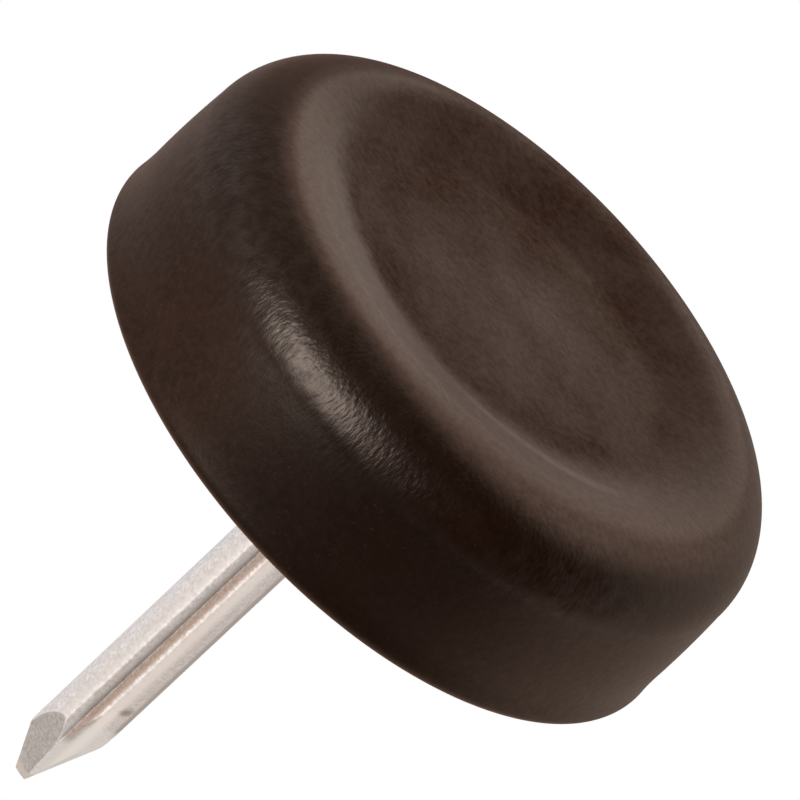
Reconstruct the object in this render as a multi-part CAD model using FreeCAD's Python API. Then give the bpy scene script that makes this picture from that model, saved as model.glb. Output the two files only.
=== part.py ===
import FreeCAD, Part
import math
import os

# Nail on furniture glide: a turned plastic cap moulded round the flat head of a fluted steel nail.
# Millimetres. The glide face's rim lies on z = 0 and the nail points up along +Z.
# The part is drawn as it stands on a bench: glide face down, nail up.

# Plastic cap
CAP_DIAMETER = 20.0        # widest, at the back edge
CAP_HEIGHT = 5.9           # glide rim to back face
SHOULDER_RADIUS = 2.1      # round from the side wall to the glide rim
WALL_DRAFT = 0.11          # the side wall curves in by this much towards the shoulder
BACK_BEAD = 0.06           # the wall flares out by this much to the back edge
BACK_BEAD_HEIGHT = 1.3     # back face to where the flare starts
BACK_EDGE_RADIUS = 0.34    # round between the side wall and the back face
DISH_DEPTH = 0.47          # the glide face is sunk inside its rim
DISH_FLOOR_DIAMETER = 10.4 # foot of the cone that rises from the sunk face to the rim
DISH_EASE = 0.12           # the cone's foot and top are rounded over this much on each side
RIM_LAND_WIDTH = 0.37      # narrow level top of the rim
BACK_DISH_DIAMETER = 15.0  # the back face is slightly sunk round the nail
BACK_DISH_DEPTH = 0.15
BACK_DISH_SLOPE = 3.5      # width of the gentle slope down to its level middle

# Steel nail
NAIL_DIAMETER = 2.0
NAIL_REACH = 16.3          # back face to the tip
HEAD_DIAMETER = 4.5
HEAD_THICKNESS = 0.8
HEAD_EDGE = 0.15           # small bevel on the head's rims
HEAD_COVER = 1.5           # plastic between the sunk glide face and the head

# Long flutes rolled into the shank
FLUTE_COUNT = 2
FLUTE_WIDTH = 0.52         # across the mouth
FLUTE_DEPTH = 0.3
FLUTE_SHOULDER = 0.12      # round on the flute's lips

# Ring groove that locks the shank in the plastic
GRIP_WIDTH = 0.5           # it starts where the shank enters the plastic
GRIP_DEPTH = 0.12

# Pinched point: the compass direction and the lean of each facet, in degrees, and how far
# its plane stands from the nail's axis at the tip. The tip is a little off the axis.
POINT_FACETS = {
    "front_left": (112.0, 20.0, -0.115),
    "front_right": (42.0, 11.8, 0.035),
    "back_right": (-62.0, 12.0, 0.12),
    "back_left": (192.0, 18.0, 0.38),
}


def point(radius, height):
    """A point of the turning profile, which lies in the XZ plane."""
    return FreeCAD.Vector(radius, 0.0, height)


def line(start, end):
    return Part.LineSegment(start, end).toShape()


def arc(start, middle, end):
    return Part.Arc(start, middle, end).toShape()


def quarter(centre_radius, centre_height, radius, from_angle):
    """A quarter circle of the profile that starts at from_angle, in degrees."""
    ends = []
    for step in (0.0, 45.0, 90.0):
        angle = math.radians(from_angle + step)
        ends.append(point(centre_radius + radius * math.cos(angle),
                          centre_height + radius * math.sin(angle)))
    return arc(*ends)


def s_slope(start, end):
    """Two equal arcs that leave start level and reach end level."""
    run = end.x - start.x
    rise = end.z - start.z
    half_turn = math.atan2(abs(rise), abs(run))
    radius = math.hypot(run, rise) / (4.0 * math.sin(half_turn))
    side = math.copysign(1.0, run)
    way = math.copysign(1.0, rise)
    middle = point((start.x + end.x) / 2.0, (start.z + end.z) / 2.0)
    reach = radius * math.sin(half_turn)
    drop = radius * (1.0 - math.cos(half_turn))
    first = point(start.x + side * reach, start.z + way * drop)
    last = point(end.x - side * reach, end.z - way * drop)
    return [arc(start, first, middle), arc(middle, last, end)]


def eased(before, corner, after, reach):
    """The arc that rounds a corner of the profile over reach on each side of it."""
    back = (before - corner).normalize()
    on = (after - corner).normalize()
    half_turn = (math.pi - back.getAngle(on)) / 2.0
    radius = reach / math.tan(half_turn)
    inward = (back + on).normalize()
    middle = corner + inward * (radius / math.cos(half_turn) - radius)
    return arc(corner + back * reach, middle, corner + on * reach)


def flare(start, end, upright_radius):
    """A shallow arc of the wall that is upright at the end that lies on upright_radius."""
    middle_radius = (start.x + end.x + 2.0 * upright_radius) / 4.0
    return arc(start, point(middle_radius, (start.z + end.z) / 2.0), end)


def turned(edges):
    """Revolve a closed profile about the nail's axis."""
    face = Part.Face(Part.Wire(edges))
    return face.revolve(FreeCAD.Vector(0, 0, 0), FreeCAD.Vector(0, 0, 1), 360)


def cap_blank():
    """The cap as turned, before the nail's seat is taken out of it."""
    radius = CAP_DIAMETER / 2.0
    wall_radius = radius - BACK_BEAD
    shoulder_edge = wall_radius - WALL_DRAFT
    crest = shoulder_edge - SHOULDER_RADIUS
    wall_top = CAP_HEIGHT - BACK_EDGE_RADIUS
    back_floor = CAP_HEIGHT - BACK_DISH_DEPTH
    back_mouth = BACK_DISH_DIAMETER / 2.0

    floor_centre = point(0.0, DISH_DEPTH)
    floor_edge = point(DISH_FLOOR_DIAMETER / 2.0, DISH_DEPTH)
    rim_inside = point(crest - RIM_LAND_WIDTH, 0.0)
    rim_outside = point(crest, 0.0)
    wall_start = point(shoulder_edge, SHOULDER_RADIUS)
    waist = point(wall_radius, CAP_HEIGHT - BACK_BEAD_HEIGHT)
    wall_end = point(radius, wall_top)
    back_edge = point(radius - BACK_EDGE_RADIUS, CAP_HEIGHT)
    back_dish_edge = point(back_mouth, CAP_HEIGHT)
    back_dish_foot = point(back_mouth - BACK_DISH_SLOPE, back_floor)
    back_centre = point(0.0, back_floor)

    foot = eased(floor_centre, floor_edge, rim_inside, DISH_EASE)
    top = eased(floor_edge, rim_inside, rim_outside, DISH_EASE)
    edges = [
        line(floor_centre, foot.firstVertex().Point),
        foot,
        line(foot.lastVertex().Point, top.firstVertex().Point),
        top,
        line(top.lastVertex().Point, rim_outside),
    ]
    edges.append(quarter(crest, SHOULDER_RADIUS, SHOULDER_RADIUS, -90.0))
    edges.append(flare(wall_start, waist, wall_radius))
    edges.append(flare(waist, wall_end, wall_radius))
    edges.append(quarter(radius - BACK_EDGE_RADIUS, wall_top, BACK_EDGE_RADIUS, 0.0))
    edges.append(line(back_edge, back_dish_edge))
    edges += s_slope(back_dish_edge, back_dish_foot)
    edges.append(line(back_dish_foot, back_centre))
    edges.append(line(back_centre, floor_centre))
    return turned(edges)


def nail_head(bottom):
    """The flat head that the plastic is moulded round."""
    radius = HEAD_DIAMETER / 2.0
    top = bottom + HEAD_THICKNESS
    corners = [
        point(0.0, bottom),
        point(radius - HEAD_EDGE, bottom),
        point(radius, bottom + HEAD_EDGE),
        point(radius, top - HEAD_EDGE),
        point(radius - HEAD_EDGE, top),
        point(0.0, top),
    ]
    edges = [line(corners[i], corners[(i + 1) % len(corners)]) for i in range(len(corners))]
    return turned(edges)


def fluted_wire(bottom, top):
    """The round wire with its long V flutes, whose lips are rounded."""
    radius = NAIL_DIAMETER / 2.0
    wire = Part.makeCylinder(radius, top - bottom, FreeCAD.Vector(0, 0, bottom))
    mouth = FLUTE_WIDTH / 2.0
    lip = math.sqrt(radius ** 2 - mouth ** 2)
    root = radius - FLUTE_DEPTH
    outside = lip + (lip - root)
    for index in range(FLUTE_COUNT):
        corners = [
            FreeCAD.Vector(0.0, -root, bottom),
            FreeCAD.Vector(2.0 * mouth, -outside, bottom),
            FreeCAD.Vector(-2.0 * mouth, -outside, bottom),
        ]
        cutter = Part.Face(Part.makePolygon(corners + corners[:1]))
        cutter = cutter.extrude(FreeCAD.Vector(0, 0, top - bottom))
        turn = 360.0 * index / FLUTE_COUNT
        cutter.rotate(FreeCAD.Vector(0, 0, 0), FreeCAD.Vector(0, 0, 1), turn)
        wire = wire.cut(cutter)
    lips = []
    for edge in wire.Edges:
        start, end = edge.Vertexes[0].Point, edge.Vertexes[-1].Point
        upright = abs(start.x - end.x) < 1e-6 and abs(start.y - end.y) < 1e-6
        on_wall = abs(math.hypot(start.x, start.y) - radius) < 1e-6
        seam = len(wire.ancestorsOfType(edge, Part.Face)) < 2
        if upright and on_wall and not seam:
            lips.append(edge)
    return wire.makeFillet(FLUTE_SHOULDER, lips)


def grip_ring(top):
    """The ring of metal taken off below top, where the plastic grips the shank."""
    radius = NAIL_DIAMETER / 2.0
    corners = [
        point(radius - GRIP_DEPTH, top - GRIP_WIDTH / 2.0),
        point(radius + GRIP_DEPTH, top - 1.5 * GRIP_WIDTH),
        point(radius + GRIP_DEPTH, top + GRIP_WIDTH / 2.0),
    ]
    edges = [line(corners[i], corners[(i + 1) % len(corners)]) for i in range(len(corners))]
    return turned(edges)


def facet_cutter(direction, lean, tip_distance, tip):
    """A block whose inner face is one leaning facet of the point."""
    size = 3.0 * NAIL_DIAMETER
    depth = NAIL_REACH
    block = Part.makeBox(size, size, depth + size, FreeCAD.Vector(0.0, -size / 2.0, -depth))
    block.rotate(FreeCAD.Vector(0, 0, 0), FreeCAD.Vector(0, 1, 0), -lean)
    block.translate(FreeCAD.Vector(tip_distance, 0.0, tip))
    block.rotate(FreeCAD.Vector(0, 0, 0), FreeCAD.Vector(0, 0, 1), direction)
    return block


def nail():
    """Head, fluted shank and pinched point in one piece of steel."""
    head_bottom = DISH_DEPTH + HEAD_COVER
    head_middle = head_bottom + HEAD_THICKNESS / 2.0
    tip = CAP_HEIGHT + NAIL_REACH
    shank = fluted_wire(head_middle, tip)
    shank = shank.cut(grip_ring(CAP_HEIGHT - BACK_DISH_DEPTH))
    for direction, lean, tip_distance in POINT_FACETS.values():
        shank = shank.cut(facet_cutter(direction, lean, tip_distance, tip))
    return nail_head(head_bottom).fuse(shank).removeSplitter()


def save(shape, name):
    solids = shape.Solids
    if len(solids) != 1 or not shape.isValid():
        raise RuntimeError(name + " did not come out as one sound solid")
    solids[0].exportStep(os.path.join("parts", name + ".step"))
    box = solids[0].optimalBoundingBox()
    print(name, "volume", round(solids[0].Volume, 2), "x", round(box.XLength, 2),
          "y", round(box.YLength, 2), "z", round(box.ZMin, 2), round(box.ZMax, 2))


os.makedirs("parts", exist_ok=True)
steel = nail()
plastic = cap_blank().cut(steel)
save(plastic, "glide_cap")
save(steel, "nail")
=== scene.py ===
import math
from types import SimpleNamespace

import bpy
import numpy as np
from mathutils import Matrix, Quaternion, Vector


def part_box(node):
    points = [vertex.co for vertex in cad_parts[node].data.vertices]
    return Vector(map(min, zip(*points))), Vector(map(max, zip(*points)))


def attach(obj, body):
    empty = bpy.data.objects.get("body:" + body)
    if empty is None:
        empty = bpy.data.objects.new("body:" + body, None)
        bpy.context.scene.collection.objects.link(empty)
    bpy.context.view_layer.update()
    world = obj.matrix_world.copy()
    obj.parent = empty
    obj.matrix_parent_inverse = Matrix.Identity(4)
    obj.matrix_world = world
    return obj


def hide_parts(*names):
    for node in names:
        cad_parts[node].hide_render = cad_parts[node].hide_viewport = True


# A nail-on furniture glide: dark brown plastic cap, zinc-grey steel nail.
# Lengths are in metres unless a name says otherwise. The glide face is down at z = 0 and the nail points up.
# Directions are a compass angle from +X towards +Y and a height above the horizon, in degrees.

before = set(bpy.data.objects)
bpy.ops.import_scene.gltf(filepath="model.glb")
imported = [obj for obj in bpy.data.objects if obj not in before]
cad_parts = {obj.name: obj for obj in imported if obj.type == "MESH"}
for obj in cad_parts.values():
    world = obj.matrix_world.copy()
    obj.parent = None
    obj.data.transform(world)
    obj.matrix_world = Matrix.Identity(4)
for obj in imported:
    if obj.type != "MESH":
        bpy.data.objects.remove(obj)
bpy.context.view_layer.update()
MM = 0.001

# Where the parts are, from the frame
cap_low, cap_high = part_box("glide_cap")
nail_low, nail_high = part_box("nail")
CAP_RADIUS = (cap_high.x - cap_low.x) / 2
BACK = cap_high.z
NAIL_TIP = nail_high.z
HEAD_BOTTOM = nail_low.z
HEAD_RADIUS = (nail_high.x - nail_low.x) / 2

# The cap's turned profile
SHOULDER_RADIUS = 2.1 * MM
WALL_DRAFT = 0.11 * MM
BACK_BEAD = 0.06 * MM
BACK_BEAD_HEIGHT = 1.3 * MM
BACK_EDGE_RADIUS = 0.34 * MM
DISH_DEPTH = 0.47 * MM
DISH_FLOOR_RADIUS = 5.2 * MM
DISH_EASE = 0.25 * MM
RIM_LAND_WIDTH = 0.37 * MM
BACK_DISH_RADIUS = 7.5 * MM
BACK_DISH_DEPTH = 0.15 * MM
BACK_DISH_SLOPE = 3.5 * MM
CAP_SEGMENTS = 360
WALL_STEPS = 24

# The nail
NAIL_RADIUS = 1.0 * MM
HEAD_THICKNESS = 0.8 * MM
FLUTE_HALF_ANGLE = math.radians(19.0)
FLUTE_DEPTH = 0.3 * MM
FLUTE_SHAPE = 1.35                       # 1 is a straight V, more gives a narrower root and rounder lips
EDGE_SOFTNESS = 0.03 * MM
POINT_FACETS = (
    # compass direction and lean in degrees, distance of the facet from the axis at the tip
    (112.0, 20.0, -0.115 * MM),
    (42.0, 11.8, 0.035 * MM),
    (-62.0, 12.0, 0.12 * MM),
    (192.0, 18.0, 0.38 * MM),
)
TIP_CENTRE = (-0.13 * MM, -0.21 * MM)
TAPER_LENGTH = 4.9 * MM
NAIL_SEGMENTS = 240
SHANK_RINGS = 120
POINT_RINGS = 150
RAY_HALVINGS = 36

# The photograph's camera: it looks up at the glide face from the flute's side
CAMERA_DISTANCE = 157.1 * MM
CAMERA_BELOW = math.radians(27.29)
CAMERA_ROLL = math.radians(46.76 + 180.0)
FRAME_PIXELS = 800
FOCAL_PIXELS = 5698.7
BACK_CENTRE_PIXEL = (385.3, 434.4)
SENSOR_MM = 36.0

# The plastic's colours
BROWN_DARK = (0.0072, 0.0032, 0.0020, 1)
BROWN_CLOUD = (0.0108, 0.0048, 0.0029, 1)
BROWN_MOTTLE = (0.0145, 0.0071, 0.0046, 1)
# Painted shade: the shoulder is painted a darker brown
BROWN_SHOULDER_SHADE = (0.0028, 0.0014, 0.0010, 1)
# Painted shade on one side of the wall
BROWN_WALL_SHADE = (0.0030, 0.0014, 0.0009, 1)
BROWN_DULL = (0.0190, 0.0086, 0.0046, 1)
# Painted reflection along the rim
RIM_REFLECTION_BROWN = (0.060, 0.042, 0.036, 1)
# Painted bounce light: the back edge painted a paler, redder brown
BACK_EDGE_BOUNCE_LIGHT = (0.055, 0.028, 0.016, 1)
DUST = (0.075, 0.048, 0.036, 1)
SHEEN_TINT = (1.0, 0.42, 0.25, 1)

# The plastic's gloss: the weight of its coat
WALL_GLOSS = 0.36
RIM_GLOSS = 0.80
DISH_GLOSS = 0.40
CREASE_GLOSS = 0.45                      # added to the rim's
COAT_ROUGHNESS = 0.36

# Where the plastic looks different. A pair is where a place begins and where it is in full.
LOW_SIDE_HEIGHT = (3.0 * MM, 2.0 * MM)
SHOULDER_HEIGHT = (3.4 * MM, 0.9 * MM)
SHOULDER_RADII = (7.9 * MM, 8.7 * MM)
KNOCKED_WAY = (-0.2, 0.98, 0.0)
KNOCKED_REACH = (3.0 * MM, 7.5 * MM)
RIM_RADII = (8.3 * MM, 7.9 * MM)
WORN_WAY = (-0.71, 0.71, 0.0)
WORN_REACH = (4.0 * MM, 7.0 * MM)
DULL_MIDDLE = (0.1 * MM, -1.45 * MM, 0.0)
DULL_BORDER = 7.5 * MM
DULL_RAGGED = 0.9 * MM
DULL_FULL = (6.5 * MM, 4.8 * MM)         # the border is softer towards +X
DULL_SOFTER_X = (0.0, 6.0 * MM)
CREASE_RADIUS = 7.3 * MM
CREASE_WIDTH = (0.30 * MM, 0.05 * MM)
CREASE_START_X = (-1.5 * MM, 2.5 * MM)
CREASE_END_X = (6.5 * MM, 4.0 * MM)
RIM_REFLECTION_RADII = (8.7 * MM, 7.9 * MM)
RIM_REFLECTION_CONE = (7.1 * MM, 7.7 * MM)       # fainter on the cone, inside these radii
RIM_REFLECTION_DRIFT = 0.6 * MM                  # it reaches out further towards +X
RIM_REFLECTION_DRIFT_X = (-2.0 * MM, 5.0 * MM)
RIM_REFLECTION_Y = (-1.0 * MM, 3.0 * MM)
WALL_SHADE_HEIGHT = (1.2 * MM, 2.2 * MM)
WALL_SHADE_START_X = (-5.0 * MM, -0.5 * MM)
WALL_SHADE_END_X = (8.0 * MM, 4.0 * MM)
UNDER_HEIGHT = (1.1 * MM, 0.4 * MM)
UNDER_RADII = (8.0 * MM, 8.7 * MM)
UNDER_X = (6.0 * MM, 1.0 * MM)
BLOTCH_MIDDLE_X = 4.8 * MM
BLOTCH_WIDTH = (3.6 * MM, 1.6 * MM)
BLOTCH_MIDDLE_HEIGHT = 1.2 * MM
BLOTCH_DEPTH = (0.9 * MM, 0.3 * MM)
BLOTCH_Y = (1.0 * MM, 4.0 * MM)
BACK_EDGE_HEIGHT = (BACK - 0.30 * MM, BACK - 0.05 * MM)

# The steel's colours
ZINC_DARK = (0.53, 0.58, 0.64, 1)
ZINC_LIGHT = (0.73, 0.79, 0.88, 1)
ZINC_CLOUD = (0.62, 0.63, 0.69, 1)
# Painted highlight along the shank
ZINC_HIGHLIGHT = (0.87, 0.94, 1.0, 1)
# Painted shade along one lobe of the shank
ZINC_LOBE_SHADE = (0.46, 0.51, 0.56, 1)
# Painted shade at the edges of the shank
ZINC_EDGE_SHADE = (0.33, 0.35, 0.38, 1)
# Painted shade and a painted highlight on the point's facets
FACET_SHADE_DARK = (0.28, 0.30, 0.33, 1)
FACET_SHADE_LIGHT = (0.42, 0.45, 0.49, 1)
FACET_HIGHLIGHT = (0.78, 0.89, 1.0, 1)
# A brown staining down the flute, darkened further as painted shade
FLUTE_STAIN_AND_SHADE = (0.17, 0.13, 0.098, 1)
# Painted shadow: a soft grey spot on the shank
SHADOW_SPOT_GREY = (0.33, 0.31, 0.30, 1)
BURR = (0.52, 0.55, 0.55, 1)

# Where the steel looks different, across the nail from its axis and up to its tip
# Where the painted highlight and the painted shade lie across the shank
HIGHLIGHT_MIDDLE = 0.46 * MM
HIGHLIGHT_WIDTH = (0.26 * MM, 0.04 * MM)
LOBE_SHADE_MIDDLE = -0.50 * MM
LOBE_SHADE_WIDTH = (0.28 * MM, 0.04 * MM)
EDGE_SHADE_ACROSS = (0.84 * MM, 0.94 * MM)
STAIN_AND_SHADE_MIDDLE = 0.11 * MM
STAIN_AND_SHADE_WIDTH = (0.24 * MM, 0.04 * MM)
STAIN_AND_SHADE_END = (NAIL_TIP - 2.2 * MM, NAIL_TIP - 2.7 * MM)
STEEL_RAGGED = 0.25 * MM
FACET_START = (NAIL_TIP - 3.6 * MM, NAIL_TIP - 3.3 * MM)
FACET_FACING = (0.95, 0.99)
SHADOW_SPOT_MIDDLE = (0.72 * MM, 0.65 * MM, NAIL_TIP - 4.5 * MM)
SHADOW_SPOT_RADII = (0.32 * MM, 0.05 * MM)
BURR_START = (NAIL_TIP - 0.45 * MM, NAIL_TIP - 0.25 * MM)

# The floor
FLOOR_REACH = 1.5
FLOOR_COLOUR = (0.9, 0.9, 0.9, 1)

# The studio round the glide. Directions are compass and height.
ROOM_LEVEL = 1.1
DARK_WAY = (67.5, -29)
DARK_REACH = (0.16, 0.78)
PALE_WAY = (-20, 5)
PALE_GAIN = 0.35
ABOVE_HEIGHT = (-0.5, 0.15)
ABOVE_LEVEL = 0.78
COOL_WAY = (225, 15)
COOL_REACH = (0.45, 0.85)
WARM_LIGHT = (1.0, 0.81, 0.67, 1)
COOL_LIGHT = (0.95, 0.90, 0.84, 1)

# The one soft lamp
LAMP_WAY = (117, -10)
LAMP_DISTANCE = 0.4
LAMP_SIZE = (0.22, 0.25)
LAMP_TURN = math.radians(14)
LAMP_WATTS = 2.6
LAMP_COLOUR = (1.0, 0.82, 0.70)


def make_camera():
    """The back face's centre lands on its pixel of the photograph, at the photograph's angle and size."""
    data = bpy.data.cameras.new("camera")
    data.sensor_width = SENSOR_MM
    data.lens = SENSOR_MM * FOCAL_PIXELS / FRAME_PIXELS
    data.clip_start = 10 * MM
    data.clip_end = 10.0
    camera = bpy.data.objects.new("camera", data)
    bpy.context.scene.collection.objects.link(camera)
    target = Vector((0, 0, BACK))
    away = Vector((0, math.cos(CAMERA_BELOW), -math.sin(CAMERA_BELOW)))
    camera.location = target + away * CAMERA_DISTANCE
    level = (-away).to_track_quat("-Z", "Y")
    rolled = level @ Quaternion((0, 0, 1), CAMERA_ROLL)
    half = FRAME_PIXELS / 2
    aim = Vector(((BACK_CENTRE_PIXEL[0] - half) / FOCAL_PIXELS,
                  (half - BACK_CENTRE_PIXEL[1]) / FOCAL_PIXELS, -1)).normalized()
    camera.rotation_mode = "QUATERNION"
    camera.rotation_quaternion = rolled @ aim.rotation_difference(Vector((0, 0, -1)))
    bpy.context.scene.camera = camera


def arc(centre, radius, start, end, steps):
    """Points of a circle in the profile, from one angle to another in degrees."""
    points = []
    for i in range(steps + 1):
        a = math.radians(start + (end - start) * i / steps)
        points.append((centre[0] + radius * math.cos(a), centre[1] + radius * math.sin(a)))
    return points


def straight(start, end, steps):
    """Points of a straight line in the profile."""
    return [(start[0] + (end[0] - start[0]) * i / steps, start[1] + (end[1] - start[1]) * i / steps)
            for i in range(steps + 1)]


def eased(before, corner, after, reach, steps):
    """The corner of the profile, rounded over reach on each side of it."""
    before, corner, after = Vector(before), Vector(corner), Vector(after)
    start = corner + (before - corner).normalized() * reach
    end = corner + (after - corner).normalized() * reach
    return [tuple(start.lerp(corner, i / steps).lerp(corner.lerp(end, i / steps), i / steps))
            for i in range(steps + 1)]


def s_slope(start, end, steps):
    """A slope that leaves start level and reaches end level."""
    points = []
    for i in range(steps + 1):
        t = i / steps
        ease = t * t * (3 - 2 * t)
        points.append((start[0] + (end[0] - start[0]) * t, start[1] + (end[1] - start[1]) * ease))
    return points


def cap_profile():
    """Radius and height of the cap's skin, from the middle of the sunk face round to the nail's seat."""
    wall_radius = CAP_RADIUS - BACK_BEAD
    crest = wall_radius - WALL_DRAFT - SHOULDER_RADIUS
    waist = BACK - BACK_BEAD_HEIGHT
    wall_top = BACK - BACK_EDGE_RADIUS
    back_floor = BACK - BACK_DISH_DEPTH
    rim_inside = (crest - RIM_LAND_WIDTH, 0.0)
    middle = (0.0, DISH_DEPTH)
    foot = (DISH_FLOOR_RADIUS, DISH_DEPTH)
    foot_round = eased(middle, foot, rim_inside, DISH_EASE, 8)
    top_round = eased(foot, rim_inside, (crest, 0.0), DISH_EASE, 8)
    points = straight(middle, foot_round[0], 24)
    points += foot_round[1:]
    points += straight(points[-1], top_round[0], 16)[1:]
    points += top_round[1:]
    points += straight(points[-1], (crest, 0.0), 3)[1:]
    points += arc((crest, SHOULDER_RADIUS), SHOULDER_RADIUS, -90, 0, 36)[1:]
    for i in range(1, WALL_STEPS + 1):
        height = SHOULDER_RADIUS + (wall_top - SHOULDER_RADIUS) * i / WALL_STEPS
        if height < waist:
            t = (waist - height) / (waist - SHOULDER_RADIUS)
            points.append((wall_radius - WALL_DRAFT * t * t, height))
        else:
            t = (height - waist) / (wall_top - waist)
            points.append((wall_radius + BACK_BEAD * t * t, height))
    points += arc((CAP_RADIUS - BACK_EDGE_RADIUS, wall_top), BACK_EDGE_RADIUS, 0, 90, 12)[1:]
    points += straight(points[-1], (BACK_DISH_RADIUS, BACK), 12)[1:]
    points += s_slope(points[-1], (BACK_DISH_RADIUS - BACK_DISH_SLOPE, back_floor), 8)[1:]
    points += straight(points[-1], (NAIL_RADIUS, back_floor), 8)[1:]
    return points


def flute_drop(angle):
    """How far the fluted section lies inside the round wire, at a compass angle in radians."""
    drop = np.zeros_like(angle)
    for middle in (math.pi / 2, -math.pi / 2):
        off = np.abs((angle - middle + math.pi) % (2 * math.pi) - math.pi)
        t = np.clip(1 - off / FLUTE_HALF_ANGLE, 0, 1)
        drop += FLUTE_DEPTH * t ** FLUTE_SHAPE
    return drop


def around(count):
    """Angles evenly round the axis, and the level unit vectors that they point along."""
    angles = np.arange(count) * 2 * math.pi / count
    return angles, np.stack([np.cos(angles), np.sin(angles), np.zeros(count)], 1)


def rings_to_mesh(name, rings, first, last):
    """A closed skin over rings of equal length. first and last are the points that close its ends."""
    count = len(rings[0])
    verts = [tuple(p) for ring in rings for p in ring]
    faces = []
    for r in range(len(rings) - 1):
        for i in range(count):
            j = (i + 1) % count
            faces.append((r * count + i, r * count + j, (r + 1) * count + j, (r + 1) * count + i))
    for end, row, turn in ((first, 0, 1), (last, len(rings) - 1, -1)):
        verts.append(tuple(end))
        tip = len(verts) - 1
        for i in range(count):
            j = (i + 1) % count
            faces.append((tip, row * count + j, row * count + i)[::turn])
    mesh = bpy.data.meshes.new(name)
    mesh.from_pydata(verts, [], faces)
    mesh.validate()
    mesh.polygons.foreach_set("use_smooth", [True] * len(mesh.polygons))
    mesh.update()
    piece = bpy.data.objects.new(name, mesh)
    bpy.context.scene.collection.objects.link(piece)
    return piece


def make_cap():
    """The moulding, with the seat that holds the nail's head."""
    angles, outward = around(CAP_SEGMENTS)
    up = np.array([0, 0, 1.0])
    section = NAIL_RADIUS - flute_drop(angles)
    rings = []
    for radius, height in cap_profile()[1:-1]:
        rings.append(outward * radius + up * height)
    head_top = HEAD_BOTTOM + HEAD_THICKNESS
    for height in (BACK - BACK_DISH_DEPTH, head_top):
        rings.append(outward * section[:, None] + up * height)
    for height in (head_top, HEAD_BOTTOM):
        rings.append(outward * HEAD_RADIUS + up * height)
    piece = rings_to_mesh("cap_moulding", rings, (0, 0, DISH_DEPTH), (0, 0, HEAD_BOTTOM))
    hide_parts("glide_cap")
    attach(piece, "root")
    return piece


def soft_max(a, b, softness):
    """The larger of two distances, with the crease between them rounded."""
    h = np.clip(0.5 + 0.5 * (a - b) / softness, 0, 1)
    return b * (1 - h) + a * h + softness * h * (1 - h)


def nail_distance(x, y, z):
    """Below zero inside the shank and the point, above zero outside."""
    outside = np.hypot(x, y) - (NAIL_RADIUS - flute_drop(np.arctan2(y, x)))
    for compass, lean, tip_distance in POINT_FACETS:
        a, b = math.radians(compass), math.radians(lean)
        flat = x * math.cos(a) + y * math.sin(a)
        plane = (flat - tip_distance - (NAIL_TIP - z) * math.tan(b)) * math.cos(b)
        outside = soft_max(outside, plane, EDGE_SOFTNESS)
    return outside


def nail_ring(height, centre):
    """One ring of the shank or point, found by halving along rays from a centre inside it."""
    angles, outward = around(NAIL_SEGMENTS)
    middle = np.array([centre[0], centre[1], height])
    low = np.zeros(NAIL_SEGMENTS)
    high = np.full(NAIL_SEGMENTS, 2.5 * NAIL_RADIUS)
    for _ in range(RAY_HALVINGS):
        half = (low + high) / 2
        reached = middle + outward * half[:, None]
        inside = nail_distance(reached[:, 0], reached[:, 1], height) < 0
        low = np.where(inside, half, low)
        high = np.where(inside, high, half)
    return middle + outward * low[:, None]


def make_nail():
    """Head, fluted shank and pinched point, as one closed skin."""
    angles, outward = around(NAIL_SEGMENTS)
    up = np.array([0, 0, 1.0])
    head_top = HEAD_BOTTOM + HEAD_THICKNESS
    rings = [outward * HEAD_RADIUS + up * HEAD_BOTTOM, outward * HEAD_RADIUS + up * head_top]
    taper_start = NAIL_TIP - TAPER_LENGTH
    heights = list(np.linspace(head_top, taper_start, SHANK_RINGS)[:-1])
    heights += list(np.linspace(taper_start, NAIL_TIP, POINT_RINGS))
    for height in heights:
        t = max(0.0, (height - taper_start) / TAPER_LENGTH)
        rings.append(nail_ring(height, (TIP_CENTRE[0] * t, TIP_CENTRE[1] * t)))
    piece = rings_to_mesh("nail_steel", rings, (0, 0, HEAD_BOTTOM), (TIP_CENTRE[0], TIP_CENTRE[1], NAIL_TIP))
    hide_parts("nail")
    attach(piece, "root")
    return piece


def direction(compass, height):
    """The unit vector toward a compass direction and a height, in degrees."""
    a, e = math.radians(compass), math.radians(height)
    return Vector((math.cos(a) * math.cos(e), math.sin(a) * math.cos(e), math.sin(e)))


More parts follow.
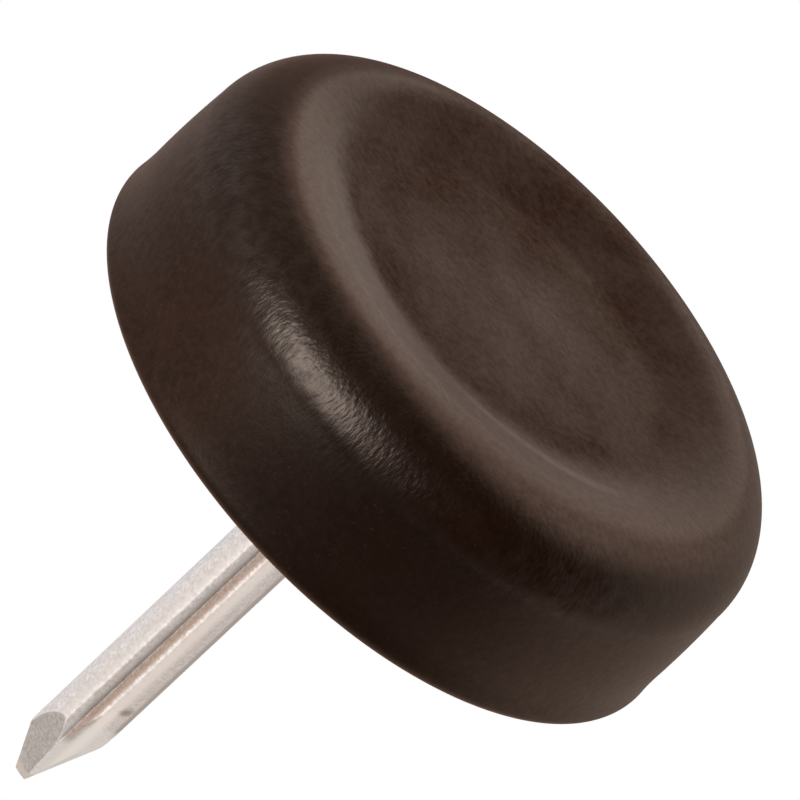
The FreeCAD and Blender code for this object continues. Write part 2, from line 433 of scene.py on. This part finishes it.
class Nodes:
    """Short calls for building the nodes of a material or of the world."""

    def __init__(self, owner, output_kind):
        owner.use_nodes = True
        self.tree = owner.node_tree
        self.tree.nodes.clear()
        self.output = self.add(output_kind)

    def add(self, kind, inputs=None, **settings):
        """A new node. An input is a value or another node's output."""
        node = self.tree.nodes.new(kind)
        for key, value in settings.items():
            setattr(node, key, value)
        for key, value in (inputs or {}).items():
            if isinstance(value, bpy.types.NodeSocket):
                self.tree.links.new(value, node.inputs[key])
            else:
                node.inputs[key].default_value = value
        return node

    def show(self, shader):
        """Make this node the surface."""
        self.tree.links.new(shader.outputs[0], self.output.inputs[0])

    def math(self, operation, a, b=0.0):
        return self.add("ShaderNodeMath", {0: a, 1: b}, operation=operation).outputs[0]

    def product(self, value, *factors):
        for factor in factors:
            value = self.math("MULTIPLY", value, factor)
        return value

    def vector(self, operation, a, b=(0, 0, 0)):
        node = self.add("ShaderNodeVectorMath", {0: a, 1: b}, operation=operation)
        return node.outputs["Value" if operation in ("LENGTH", "DOT_PRODUCT") else "Vector"]

    def from_axis(self, place):
        """The distance from the upright axis."""
        return self.vector("LENGTH", self.vector("MULTIPLY", place, (1, 1, 0)))

    def noise(self, vector, scale, detail=2.0, roughness=0.5):
        node = self.add("ShaderNodeTexNoise", {"Vector": vector, "Scale": scale, "Detail": detail,
                                               "Roughness": roughness})
        return node.outputs["Fac"]

    def remap(self, value, low, high, to_low, to_high, way="LINEAR"):
        node = self.add("ShaderNodeMapRange", {"Value": value, "From Min": low, "From Max": high,
                                               "To Min": to_low, "To Max": to_high}, interpolation_type=way)
        return node.outputs["Result"]

    def step(self, value, low, high):
        """A soft step from 0 at low to 1 at high."""
        return self.remap(value, low, high, 0.0, 1.0, "SMOOTHSTEP")

    def near(self, value, middle, outer, inner):
        """A soft band: 1 within inner of the middle value, 0 beyond outer."""
        return self.step(self.math("ABSOLUTE", self.math("SUBTRACT", value, middle)), outer, inner)

    def mix(self, factor, a, b):
        return self.add("ShaderNodeMix", {0: factor, 6: a, 7: b}, data_type="RGBA").outputs[2]

    def layers(self, colour, layers):
        """Lay colours over one another. Each layer is where it lies, how strong it is and its colour."""
        for mask, strength, over in layers:
            colour = self.mix(self.product(mask, strength), colour, over)
        return colour

    def bump(self, height, distance, strength, under=None):
        """A normal with fine relief, over another relief if there is one."""
        inputs = {"Height": height, "Distance": distance, "Strength": strength}
        if under is not None:
            inputs["Normal"] = under
        return self.add("ShaderNodeBump", inputs).outputs["Normal"]


def cap_zones(n):
    """Where the plastic looks different, as masks from 0 to 1, and the noise that several of them share."""
    zone = SimpleNamespace()
    zone.place = n.add("ShaderNodeTexCoord").outputs["Object"]
    x, y, zone.height = n.add("ShaderNodeSeparateXYZ", {0: zone.place}).outputs
    zone.radius = n.from_axis(zone.place)
    zone.mottle = n.noise(zone.place, 4500.0, 4.0, 0.75)
    low_side = n.step(zone.height, *LOW_SIDE_HEIGHT)

    # The round between wall and rim, and the side of it that was knocked
    zone.shoulder = n.product(n.step(zone.height, *SHOULDER_HEIGHT), n.step(zone.radius, *SHOULDER_RADII))
    knocked = n.step(n.vector("DOT_PRODUCT", zone.place, KNOCKED_WAY), *KNOCKED_REACH)
    zone.knocked = n.product(knocked, zone.shoulder)

    # The dull sunk face, whose ragged border is off-centre
    from_dull = n.from_axis(n.vector("SUBTRACT", zone.place, DULL_MIDDLE))
    ragged = n.noise(zone.place, 1500.0, 4.0, 0.7)
    ragged = n.product(n.math("SUBTRACT", ragged, 0.5), DULL_RAGGED)
    full = n.remap(x, *DULL_SOFTER_X, *DULL_FULL)
    zone.dull = n.product(n.step(n.math("ADD", from_dull, ragged), DULL_BORDER, full), low_side)

    # The polished rim round it, most worn on one side
    worn = n.step(n.vector("DOT_PRODUCT", zone.place, WORN_WAY), *WORN_REACH)
    rim = n.product(n.step(zone.radius, *RIM_RADII), low_side)
    zone.rim = n.product(n.math("SUBTRACT", rim, zone.dull), n.remap(worn, 0.0, 1.0, 0.50, 1.0))

    # A thin bright crease along part of the dull face's border
    crease = n.near(from_dull, CREASE_RADIUS, *CREASE_WIDTH)
    zone.crease = n.product(crease, n.step(x, *CREASE_START_X), n.step(x, *CREASE_END_X), zone.rim)

    # Painted reflection: the rim's surface painted a paler, greyer brown, strongest towards +Y
    reach = n.math("SUBTRACT", zone.radius, n.remap(x, *RIM_REFLECTION_DRIFT_X, 0.0, RIM_REFLECTION_DRIFT))
    zone.rubbed = n.product(n.remap(zone.radius, *RIM_REFLECTION_CONE, 0.35, 1.0),
                            n.step(reach, *RIM_REFLECTION_RADII),
                            n.math("SUBTRACT", 1.0, zone.dull),
                            low_side,
                            n.remap(y, *RIM_REFLECTION_Y, 0.35, 1.0),
                            n.remap(zone.mottle, 0.35, 0.65, 0.6, 1.0))

    # Painted shade: the part of the wall that is painted darkest, and is least glossy
    zone.deep = n.product(n.step(x, *WALL_SHADE_START_X), n.step(zone.height, *WALL_SHADE_HEIGHT), n.step(x, *WALL_SHADE_END_X))

    # The less glossy turn from the rim to the shoulder
    zone.under = n.product(n.step(zone.height, *UNDER_HEIGHT), n.step(zone.radius, *UNDER_RADII),
                           n.step(x, *UNDER_X))

    # Matt blotches low on the shoulder
    zone.blotch = n.product(n.near(x, BLOTCH_MIDDLE_X, *BLOTCH_WIDTH),
                            n.near(zone.height, BLOTCH_MIDDLE_HEIGHT, *BLOTCH_DEPTH),
                            n.remap(n.noise(zone.place, 1800.0), 0.4, 0.6, 0.35, 1.0),
                            n.step(y, *BLOTCH_Y))
    return zone


def cap_colour(n, zone):
    """Dark brown in clouds and mottles, with the dull sunk face, dust specks, painted shade on the shoulder
    and on one side of the wall, a painted reflection along the rim and a back edge painted paler as painted
    bounce light over it.
    """
    cloud = n.noise(zone.place, 700.0, 4.0, 0.6)
    speck = n.noise(zone.place, 11000.0, 1.0)
    return n.layers(BROWN_DARK, (
        (n.step(cloud, 0.35, 0.65), 1.0, BROWN_CLOUD),
        (n.step(zone.mottle, 0.35, 0.70), 1.0, BROWN_MOTTLE),
        # painted shade: a darker brown on the shoulder
        (zone.shoulder, 0.45, BROWN_SHOULDER_SHADE),
        # painted shade: one side of the wall painted darkest
        (zone.deep, 0.7, BROWN_WALL_SHADE),
        (zone.dull, 0.6, BROWN_DULL),
        # painted reflection: the rim painted paler and greyer
        (zone.rubbed, 1.0, RIM_REFLECTION_BROWN),
        (n.step(speck, 0.70, 0.76), 0.14, DUST),
        # painted bounce light on the back edge
        (n.step(zone.height, *BACK_EDGE_HEIGHT), 0.6, BACK_EDGE_BOUNCE_LIGHT),
    ))


def cap_gloss(n, zone):
    """How glossy the plastic is, as the weight of its coat."""
    gloss = n.remap(zone.rim, 0.0, 1.0, WALL_GLOSS, RIM_GLOSS)
    gloss = n.math("ADD", gloss, n.product(zone.crease, CREASE_GLOSS))
    gloss = n.math("SUBTRACT", gloss, n.product(zone.dull, WALL_GLOSS - DISH_GLOSS))
    gloss = n.product(gloss, n.remap(zone.mottle, 0.3, 0.7, 0.88, 1.12))

    # How many times glossier each of these places is
    scuffs = n.remap(n.noise(zone.place, 2600.0, 3.0, 0.6), 0.35, 0.65, 1.2, 2.1)
    for mask, times in ((zone.knocked, scuffs), (zone.blotch, 0.35), (zone.under, 0.55), (zone.deep, 0.65)):
        gloss = n.product(gloss, n.remap(mask, 0.0, 1.0, 1.0, times))

    # The sunk face is patchy and has less gloss away from its middle
    patches = n.remap(n.noise(zone.place, 350.0, 3.0, 0.6), 0.35, 0.65, -0.12, 0.08)
    patches = n.math("ADD", patches, n.remap(zone.mottle, 0.3, 0.7, -0.07, 0.07))
    patches = n.math("ADD", patches, n.remap(zone.radius, 1.0 * MM, 4.5 * MM, 0.08, -0.12))
    return n.math("ADD", gloss, n.product(patches, zone.dull))


def cap_material():
    """Dark brown plastic with a fine grain, and fine marks across the knocked side of its shoulder."""
    material = bpy.data.materials.new("cap_plastic")
    n = Nodes(material, "ShaderNodeOutputMaterial")
    zone = cap_zones(n)
    grain = n.noise(zone.place, 9000.0, 3.0, 0.65)
    marks = n.noise(n.vector("MULTIPLY", zone.place, (1, 1, 0.22)), 9000.0)
    normal = n.bump(grain, 0.008 * MM, 0.7)
    normal = n.bump(marks, 0.020 * MM, n.remap(zone.knocked, 0.0, 1.0, 0.12, 1.0), normal)
    rough = n.math("ADD", n.remap(grain, 0.3, 0.7, 0.30, 0.38), n.product(zone.dull, 0.3))
    n.show(n.add("ShaderNodeBsdfPrincipled", {
        "Base Color": cap_colour(n, zone),
        "Roughness": rough,
        "Normal": normal,
        "Specular IOR Level": 0.0,
        "Coat Weight": cap_gloss(n, zone),
        "Coat Roughness": COAT_ROUGHNESS,
        "Coat IOR": 1.5,
        "Coat Normal": normal,
        "Sheen Weight": 0.05,
        "Sheen Roughness": 0.5,
        "Sheen Tint": SHEEN_TINT,
    }))
    return material


def nail_material():
    """Dull zinc-grey steel: a fine speckle, a brown staining down the flutes that is partly painted shade, a
    painted highlight and painted shade along the shank and at its edges, the point's facets painted grey and
    bright as painted shade and a painted highlight, and a spot of painted shadow.
    """
    material = bpy.data.materials.new("nail_steel")
    n = Nodes(material, "ShaderNodeOutputMaterial")
    coordinates = n.add("ShaderNodeTexCoord").outputs
    place = coordinates["Object"]
    x, y, height = n.add("ShaderNodeSeparateXYZ", {0: place}).outputs
    speckle = n.noise(place, 9000.0, 4.0, 0.75)
    ragged = n.product(n.math("SUBTRACT", speckle, 0.5), STEEL_RAGGED)

    # Both sides of the nail are marked alike, so the way across turns over on the far side
    across = n.product(x, n.math("SIGN", y))
    # A real brown staining down the flute, darkened further as painted shade in the flute
    stain_and_shade = n.product(n.near(n.math("ADD", across, ragged), STAIN_AND_SHADE_MIDDLE, *STAIN_AND_SHADE_WIDTH),
                      n.step(height, *STAIN_AND_SHADE_END),
                      n.remap(speckle, 0.35, 0.62, 0.72, 1.0))

    # The two facets of the point that face the camera: one painted grey as painted shade, one painted bright
    # as a painted highlight
    facets = []
    for compass, lean, _ in POINT_FACETS[:2]:
        facing = n.vector("DOT_PRODUCT", coordinates["Normal"], direction(compass, lean))
        facets.append(n.product(n.step(facing, *FACET_FACING), n.step(height, *FACET_START)))
    grey = n.mix(n.step(speckle, 0.35, 0.65), FACET_SHADE_DARK, FACET_SHADE_LIGHT)

    from_shadow_spot = n.vector("LENGTH", n.vector("SUBTRACT", place, SHADOW_SPOT_MIDDLE))
    colour = n.layers(ZINC_DARK, (
        (n.step(speckle, 0.35, 0.68), 1.0, ZINC_LIGHT),
        (n.step(n.noise(place, 1500.0, 3.0, 0.6), 0.45, 0.7), 0.35, ZINC_CLOUD),
        # painted highlight along the shank
        (n.near(across, HIGHLIGHT_MIDDLE, *HIGHLIGHT_WIDTH), 0.85, ZINC_HIGHLIGHT),
        # painted shade along one lobe
        (n.near(across, LOBE_SHADE_MIDDLE, *LOBE_SHADE_WIDTH), 0.55, ZINC_LOBE_SHADE),
        # painted shade at the edges
        (n.step(across, *EDGE_SHADE_ACROSS), 0.8, ZINC_EDGE_SHADE),
        (stain_and_shade, 0.95, FLUTE_STAIN_AND_SHADE),
        (facets[0], 0.9, grey),
        (facets[1], 0.5, FACET_HIGHLIGHT),
        # painted shadow: a soft grey spot on the shank
        (n.step(n.math("ADD", from_shadow_spot, ragged), *SHADOW_SPOT_RADII), 1.0, SHADOW_SPOT_GREY),
        (n.step(n.math("ADD", height, ragged), *BURR_START), 0.7, BURR),
    ))

    drawn = n.noise(n.vector("MULTIPLY", place, (1, 1, 0.12)), 7000.0, 3.0, 0.6)
    relief = n.bump(speckle, 0.006 * MM, 0.6)
    relief = n.bump(drawn, 0.008 * MM, 0.5, relief)
    n.show(n.add("ShaderNodeBsdfPrincipled", {
        "Base Color": colour,
        "Roughness": n.math("ADD", n.remap(speckle, 0.3, 0.7, 0.42, 0.60), n.product(stain_and_shade, 0.35)),
        "Metallic": n.remap(stain_and_shade, 0.0, 1.0, 0.6, 0.0),
        "Normal": relief,
    }))
    return material


def make_floor():
    """A pale floor under the glide. Only a camera above it sees it, and to all other rays it is clear."""
    mesh = bpy.data.meshes.new("floor")
    corners = [(-FLOOR_REACH, -FLOOR_REACH, 0), (FLOOR_REACH, -FLOOR_REACH, 0),
               (FLOOR_REACH, FLOOR_REACH, 0), (-FLOOR_REACH, FLOOR_REACH, 0)]
    mesh.from_pydata(corners, [], [(0, 1, 2, 3)])
    floor = bpy.data.objects.new("floor", mesh)
    bpy.context.scene.collection.objects.link(floor)
    material = bpy.data.materials.new("floor")
    n = Nodes(material, "ShaderNodeOutputMaterial")
    camera_ray = n.add("ShaderNodeLightPath").outputs["Is Camera Ray"]
    from_below = n.add("ShaderNodeNewGeometry").outputs["Backfacing"]
    seen = n.product(camera_ray, n.math("SUBTRACT", 1.0, from_below))
    clear = n.add("ShaderNodeBsdfTransparent").outputs[0]
    pale = n.add("ShaderNodeBsdfDiffuse", {"Color": FLOOR_COLOUR}).outputs[0]
    n.show(n.add("ShaderNodeMixShader", {0: seen, 1: clear, 2: pale}))
    mesh.materials.append(material)


def make_world():
    """White to the camera. To all other rays a warm studio that is dark on the side of the photograph."""
    world = bpy.data.worlds.new("studio")
    bpy.context.scene.world = world
    n = Nodes(world, "ShaderNodeOutputWorld")
    way = n.add("ShaderNodeTexCoord").outputs["Generated"]
    height = n.add("ShaderNodeSeparateXYZ", {0: way}).outputs["Z"]

    # The level of the light: none at the dark side, a little more at the pale side, a little less above
    room = n.remap(n.vector("DOT_PRODUCT", way, direction(*DARK_WAY)), *DARK_REACH, ROOM_LEVEL, 0.0,
                   "SMOOTHSTEP")
    side = n.product(n.vector("DOT_PRODUCT", way, direction(*PALE_WAY)), PALE_GAIN)
    above = n.remap(height, *ABOVE_HEIGHT, 1.0, ABOVE_LEVEL, "SMOOTHSTEP")
    level = n.product(room, n.math("ADD", side, 1.0), above)

    # Its colour: warm, and cooler on one side
    cool = n.remap(n.vector("DOT_PRODUCT", way, direction(*COOL_WAY)), *COOL_REACH, 0.0, 1.0)
    tint = n.mix(cool, WARM_LIGHT, COOL_LIGHT)

    studio = n.add("ShaderNodeBackground", {"Color": tint, "Strength": level}).outputs[0]
    white = n.add("ShaderNodeBackground", {"Color": (1, 1, 1, 1), "Strength": 1.0}).outputs[0]
    camera_ray = n.add("ShaderNodeLightPath").outputs["Is Camera Ray"]
    n.show(n.add("ShaderNodeMixShader", {0: camera_ray, 1: studio, 2: white}))


def make_lamp():
    """One rectangular soft lamp that looks at the cap and makes the long highlight on its shoulder."""
    data = bpy.data.lights.new("key", "AREA")
    data.shape = "RECTANGLE"
    data.size, data.size_y = LAMP_SIZE
    data.energy = LAMP_WATTS
    data.color = LAMP_COLOUR
    lamp = bpy.data.objects.new("key", data)
    bpy.context.scene.collection.objects.link(lamp)
    away = direction(*LAMP_WAY)
    lamp.location = Vector((0, 0, BACK / 2)) + away * LAMP_DISTANCE
    lamp.rotation_mode = "QUATERNION"
    lamp.rotation_quaternion = (-away).to_track_quat("-Z", "Y") @ Quaternion((0, 0, 1), LAMP_TURN)


make_camera()
cap = make_cap()
cap.data.materials.append(cap_material())
nail = make_nail()
nail.data.materials.append(nail_material())
make_floor()
make_world()
make_lamp()
bpy.context.scene.view_settings.view_transform = "Standard"
